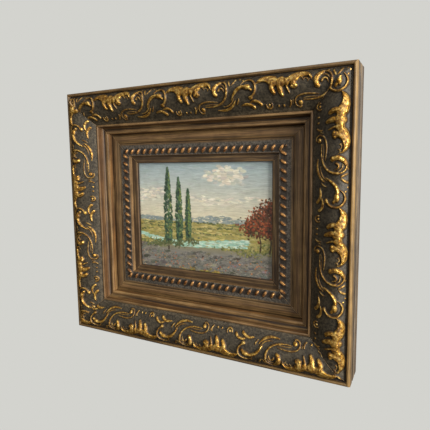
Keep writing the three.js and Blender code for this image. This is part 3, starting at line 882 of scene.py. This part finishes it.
def paintLandscape(width, height):
    # dabs of paint laid over a toned ground: each is an ellipse of colour with bristle lines along it
    q = painting
    draw = np.random.default_rng(q["seed"])
    x = np.linspace(0, width, q["columns"])[None, :]
    y = np.linspace(height, 0, q["rows"])[:, None]
    cell = width / (q["columns"] - 1)
    skyStops = np.array([hexShares(c) for c in q["sky"]])
    level = np.clip((1 - y / height) / 0.54, 0, 1)
    ground = np.array(
        [hexShares("#a9a068"), hexShares("#99915a"), hexShares("#84827a"), hexShares("#696862")]
    )
    below = np.clip((0.46 - y / height) / 0.46, 0, 1)
    sky = np.stack([np.interp(level, np.linspace(0, 1, 4), skyStops[:, k]) for k in range(3)], axis=-1)
    land = np.stack([np.interp(below, (0, 0.35, 0.6, 1), ground[:, k]) for k in range(3)], axis=-1)
    paint = np.where((y / height > 0.46)[..., None], sky, land) * np.ones((1, q["columns"], 1))
    relief = np.zeros(paint.shape[:2])

    def dab(atX, atY, length, breadth, angle, tint, load, cover=0.9):
        reach = int(max(length, breadth) / cell) + 2
        row, column = int((height - atY) / cell), int(atX / cell)
        rows = slice(max(row - reach, 0), row + reach + 1)
        columns = slice(max(column - reach, 0), column + reach + 1)
        dx, dy = x[:, columns] - atX, y[rows] - atY
        along = (dx * math.cos(angle) + dy * math.sin(angle)) / length
        across = (dy * math.cos(angle) - dx * math.sin(angle)) / breadth
        mask = np.clip((1 - along ** 2 - across ** 2) * 2.5, 0, 1) * cover
        bristle = 0.5 + 0.5 * np.sin(across * 7 + atX)
        shade = tint * (0.93 + 0.14 * bristle[..., None])
        paint[rows, columns] += (shade - paint[rows, columns]) * mask[..., None]
        relief[rows, columns] += (load * (0.55 + 0.45 * bristle) - relief[rows, columns]) * mask * 0.8

    def lay(count, place, size, tints, load, lean=(0.0, 0.15), vary=0.035, cover=0.9):
        # place returns fractions of the width and height; size is [length, breadth] in mm, half extents
        for _ in range(count):
            a, b = place()
            if not (-0.02 < a < 1.02 and -0.02 < b < 1.02):
                continue
            pick = tints(a, b) if callable(tints) else hexShares(tints[draw.integers(len(tints))])
            tint = np.clip(pick + draw.normal(0, vary) + draw.normal(0, vary * 0.3, 3), 0, 1)
            scale = draw.uniform(0.7, 1.3)
            dab(np.clip(a, 0, 1) * width, np.clip(b, 0, 1) * height, size[0] * scale, size[1] * scale,
                draw.normal(*lean), tint, load * draw.uniform(0.5, 1.0), cover)

    def anywhere(low, high):
        return lambda: (draw.uniform(0, 1), draw.uniform(low, high))

    def about(centres, spread):
        def place():
            a, b = centres[draw.integers(len(centres))]
            return a + draw.normal(0, spread[0]), b + draw.normal(0, spread[1])
        return place

    def skyTint(a, b):
        depth = np.clip((1 - b) / 0.54, 0, 1)
        return np.array([np.interp(depth, np.linspace(0, 1, 4), skyStops[:, k]) for k in range(3)])

    lay(620, anywhere(0.46, 1.0), (5.5, 1.5), skyTint, 0.35, vary=0.02, cover=0.75)
    lay(
        150, about([(0.6, 0.86), (0.68, 0.9), (0.76, 0.86), (0.7, 0.82)], (0.045, 0.02)), (3.4, 1.7),
        q["cloud"], 0.7,
    )
    lay(110, about([(0.1, 0.72), (0.2, 0.69), (0.04, 0.66)], (0.05, 0.018)), (3.6, 1.3), q["cloud"], 0.6)
    lay(90, about([(0.50, 0.66), (0.62, 0.64), (0.86, 0.67)], (0.07, 0.012)), (4.2, 1.0), q["cloud"], 0.5)

    def onRidge():
        a = draw.uniform(0, 1)
        top = 0.475 + 0.045 * math.exp(-((a - 0.62) / 0.2) ** 2) + 0.02 * math.exp(
            -((a - 0.05) / 0.15) ** 2
        )
        return a, draw.uniform(0.455, top)

    lay(420, onRidge, (2.4, 0.8), q["ridge"], 0.3, vary=0.02)
    lay(1300, anywhere(0.24, 0.455), (3.2, 0.8), q["meadow"], 0.45, lean=(0.04, 0.1))
    for base, sway, count in ((0.445, 0.006, 150), (0.405, 0.012, 120), (0.37, 0.014, 90)):
        def onHedge():
            a = draw.uniform(0, 1)
            return a, base + sway * math.sin(a * 9 + base * 50) + draw.normal(0, 0.004)
        lay(count, onHedge, (1.3, 0.6), q["hedge"], 0.5)

    def onStream():
        a = draw.uniform(0, 0.82)
        middle = 0.335 - 0.10 * a - 0.045 * math.sin(a * 5.2)
        return a, middle + draw.uniform(-1, 1) * (0.014 + 0.028 * a)

    lay(560, onStream, (3.2, 0.6), q["water"], 0.4, lean=(0.0, 0.05), vary=0.02)

    def onBank():
        a = draw.uniform(0, 1)
        top = 0.235 - 0.07 * a - 0.03 * math.sin(a * 5.2) + 0.02 * math.sin(a * 17)
        return a, draw.uniform(0, max(top, 0.1))

    lay(260, onBank, (5.0, 1.6), q["bank"][:2] + q["bank"][3:], 0.5, lean=(0.15, 0.2), vary=0.05)
    lay(1500, onBank, (1.6, 0.55), q["bank"], 0.7, lean=(0.1, 0.5), vary=0.03, cover=0.7)
    lay(
        260, about([(0.95, 0.26), (0.86, 0.22), (0.76, 0.24), (0.1, 0.26)], (0.06, 0.02)), (1.3, 0.9),
        q["grass"], 0.8, (0.9, 0.5),
    )
    lay(70, anywhere(0.02, 0.17), (1.0, 0.55), q["fleck"], 1.0, lean=(0.2, 0.5), vary=0.03)
    lay(60, about([(0.42, 0.02), (0.55, 0.03)], (0.06, 0.012)), (1.8, 0.8), ["#a58f45", "#8a7c3c"], 0.8)

    def column(middle, base, top, girth):
        def place():
            t = draw.uniform(0, 1)
            belly = girth * math.sin(math.pi * min(1, 0.12 + 0.88 * t)) ** 0.6 * (1 - 0.35 * t)
            return middle + draw.uniform(-1, 1) * belly, base + (top - base) * t
        return place

    trees = ((0.40, 0.30, 0.74, 0.024), (0.33, 0.28, 0.84, 0.030), (0.245, 0.25, 0.93, 0.037))
    for middle, base, top, girth in trees:
        lay(60, column(middle, base - 0.05, base + 0.1, 0.004), (0.6, 1.8), ["#3b3128", "#4f4334"], 0.7)
        lay(520, column(middle, base, top, girth), (1.1, 1.7), q["poplar"][:4], 0.9, lean=(0.1, 0.4))
        lay(
            90, column(middle + girth * 0.35, base + 0.05, top - 0.04, girth * 0.5), (0.8, 1.1),
            q["poplar"][3:], 1.0,
        )
    lay(
        260, about([(0.22, 0.25), (0.31, 0.26), (0.42, 0.285), (0.14, 0.24)], (0.035, 0.014)), (1.2, 1.0),
        q["hedge"], 0.9, (0.5, 0.6),
    )
    crowns = [(0.90, 0.52), (0.97, 0.60), (0.84, 0.44), (0.94, 0.42), (0.99, 0.48)]
    for foot, head in (((0.90, 0.25), (0.89, 0.5)), ((0.96, 0.24), (0.97, 0.55))):
        for t in np.linspace(0, 1, 22):
            a, b = (
                foot[0] + (head[0] - foot[0]) * t + 0.006 * math.sin(t * 7),
                foot[1] + (head[1] - foot[1]) * t,
            )
            dab(a * width, b * height, 0.8, 1.9, 0.1, hexShares("#3a2c22"), 0.7)
    lay(1250, about(crowns, (0.032, 0.038)), (1.3, 1.0), q["copse"][:5], 0.95, lean=(0.6, 0.6))
    lay(
        110, about([(a - 0.015, b + 0.03) for a, b in crowns], (0.03, 0.03)), (0.9, 0.7), q["copse"][3:],
        1.0,
    )
    return toLinear(np.clip(paint * 0.93, 0, 1)), relief


def oilPaint():
    # Oil on a sized board under a thin dammar varnish: satin, with bristle marks and a faint weave of fine
    # lines across it that the eye takes for the ground showing through.
    material, tree = newMaterial("oil paint, satin varnish")
    place = addNode(tree, "ShaderNodeTexCoord").outputs["Object"]
    pigment = addNode(tree, "ShaderNodeAttribute", attribute_name="pigment").outputs["Color"]
    # sized ground, 0.8 mm lines
    lines = addNode(
        tree, "ShaderNodeTexNoise",
        {
            "Vector": addNode(tree, "ShaderNodeMapping", {"Vector": place, "Scale": (0.05, 1, 1)}),
            "Scale": 1 / (0.8 * mm), "Detail": 2, "Roughness": 0.55,
        },
    )
    dust = addNode(
        tree, "ShaderNodeTexNoise",
        {"Vector": place, "Scale": 1 / (9 * mm), "Detail": 3, "Roughness": 0.55},
    )
    toned = addNode(
        tree, "ShaderNodeMix",
        {
            0: addNode(
                tree, "ShaderNodeMapRange",
                {"Value": lines, "From Min": 0.35, "From Max": 0.7, "To Min": 0.0, "To Max": 0.22},
                interpolation_type="SMOOTHSTEP",
            ),
            6: pigment, 7: colour("#4f4c45"),
        },
        data_type="RGBA", blend_type="MULTIPLY",
    ).outputs[2]
    aged = addNode(
        tree, "ShaderNodeMix",
        {
            0: addNode(
                tree, "ShaderNodeMapRange",
                {"Value": dust, "From Min": 0.4, "From Max": 0.7, "To Min": 0.0, "To Max": 0.12},
                interpolation_type="SMOOTHSTEP",
            ),
            6: toned, 7: colour("#a8946a"),
        },
        data_type="RGBA", blend_type="MULTIPLY",
    ).outputs[2]
    bump = addNode(tree, "ShaderNodeBump", {"Strength": 0.4, "Distance": 0.15 * mm, "Height": lines})
    shader = addNode(tree, "ShaderNodeBsdfPrincipled", {
        "Base Color": aged, "Roughness": 0.5, "Coat Weight": 0.12, "Coat Roughness": 0.3, "Normal": bump,
    })
    addNode(tree, "ShaderNodeOutputMaterial", {"Surface": shader})
    return material


def hardboard():
    # Pressed fibre board: mid brown, short dark and pale fibres a millimetre or two long.
    material, tree = newMaterial("pressed fibre board")
    place = addNode(tree, "ShaderNodeTexCoord").outputs["Object"]
    fibre = addNode(
        tree, "ShaderNodeTexNoise",
        {"Vector": place, "Scale": 1 / (1.3 * mm), "Detail": 5, "Roughness": 0.75},
    )
    base = addNode(
        tree, "ShaderNodeValToRGB", {"Fac": fibre},
        [[0.3, "#5e4329"], [0.5, "#7d5c3a"], [0.72, "#97764e"]],
    )
    bump = addNode(tree, "ShaderNodeBump", {"Strength": 0.35, "Distance": 0.15 * mm, "Height": fibre})
    shader = addNode(
        tree, "ShaderNodeBsdfPrincipled", {"Base Color": base, "Roughness": 0.82, "Normal": bump},
    )
    addNode(tree, "ShaderNodeOutputMaterial", {"Surface": shader})
    return material


def makePainting():
    low, high = (np.array(corner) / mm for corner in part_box("painted_board"))
    width, height = high[0] - low[0], high[2] - low[2]
    pigment, relief = paintLandscape(width, height)
    q = painting
    across = np.linspace(0, 1, q["columns"])[None, :]
    down = np.linspace(0, 1, q["rows"])[:, None]
    border = step(0, 0.012, across) * step(1, 0.988, across) * step(0, 0.015, down) * step(1, 0.985, down)
    x = low[0] + across * width + 0 * down
    z = high[2] - down * height + 0 * across
    y = low[1] + q["relief"] * (1 - relief * border)
    front = np.stack([x, y, z], axis=-1)
    back = np.stack(
        [
            np.stack(
                [x[0], np.full(q["columns"], high[1]), np.full(q["columns"], level)], axis=-1,
            ) for level in (low[2], high[2])
        ]
    )
    points = np.concatenate([front, back]) * mm
    v = np.concatenate([0.01 + 0.77 * down[:, 0], [0.80, 0.85]])
    uv = np.stack(np.broadcast_arrays(0.01 + 0.98 * across, v[:, None]), axis=-1)
    core = np.broadcast_to(linear("#7d5c3a"), (2, q["columns"], 3))
    rows = q["rows"]
    hard = np.isin(np.arange(rows + 2), [0, rows - 1, rows, rows + 1])
    slots = (np.arange(rows + 2) >= rows - 1).astype(int)
    mesh = gridMesh(
        "painting", points, uv, True, hard, slots, True, {}, {"pigment": np.concatenate([pigment, core])},
    )
    addPiece("landscape_on_board", mesh, "painted_board", [oilPaint(), hardboard()])


makePainting()
print("landscape painted")


# Fixings on the back.
def metalFinish(name, dark, light, roughness):
    # plated sheet or wire: a clean metal whose tone and gloss drift a little, with fine rolling lines
    material, tree = newMaterial(name)
    place = addNode(tree, "ShaderNodeTexCoord").outputs["Object"]
    drift = addNode(
        tree, "ShaderNodeTexNoise",
        {"Vector": place, "Scale": 1 / (5 * mm), "Detail": 4, "Roughness": 0.55},
    )
    lines = addNode(
        tree, "ShaderNodeTexNoise",
        {
            "Vector": addNode(tree, "ShaderNodeMapping", {"Vector": place, "Scale": (0.08, 1, 1)}),
            "Scale": 1 / (0.35 * mm), "Detail": 2, "Roughness": 0.55,
        },
    )
    base = addNode(tree, "ShaderNodeValToRGB", {"Fac": drift}, [[0.3, dark], [0.7, light]])
    rough = addNode(
        tree, "ShaderNodeMapRange",
        {
            "Value": drift, "From Min": 0.3, "From Max": 0.7, "To Min": roughness + 0.12,
            "To Max": roughness - 0.06,
        },
        interpolation_type="SMOOTHSTEP",
    )
    bump = addNode(tree, "ShaderNodeBump", {"Strength": 0.15, "Distance": 0.05 * mm, "Height": lines})
    shader = addNode(tree, "ShaderNodeBsdfPrincipled", {
        "Base Color": base, "Metallic": 1.0, "Roughness": rough, "Normal": bump,
    })
    addNode(tree, "ShaderNodeOutputMaterial", {"Surface": shader})
    return material


zinc = metalFinish("zinc-plated steel", "#8d8f8f", "#b9bbb9", 0.4)               # dull grey to the eye
brassed = metalFinish("brass-plated steel sheet", "#a5823f", "#d0ad66", 0.34)   # warm yellow
for name, node in nodes.items():
    if name.startswith(("board_point", "hanger")):
        for place in node.material_slots:
            place.material = brassed if name == "hanger" else zinc
print("fixings finished")
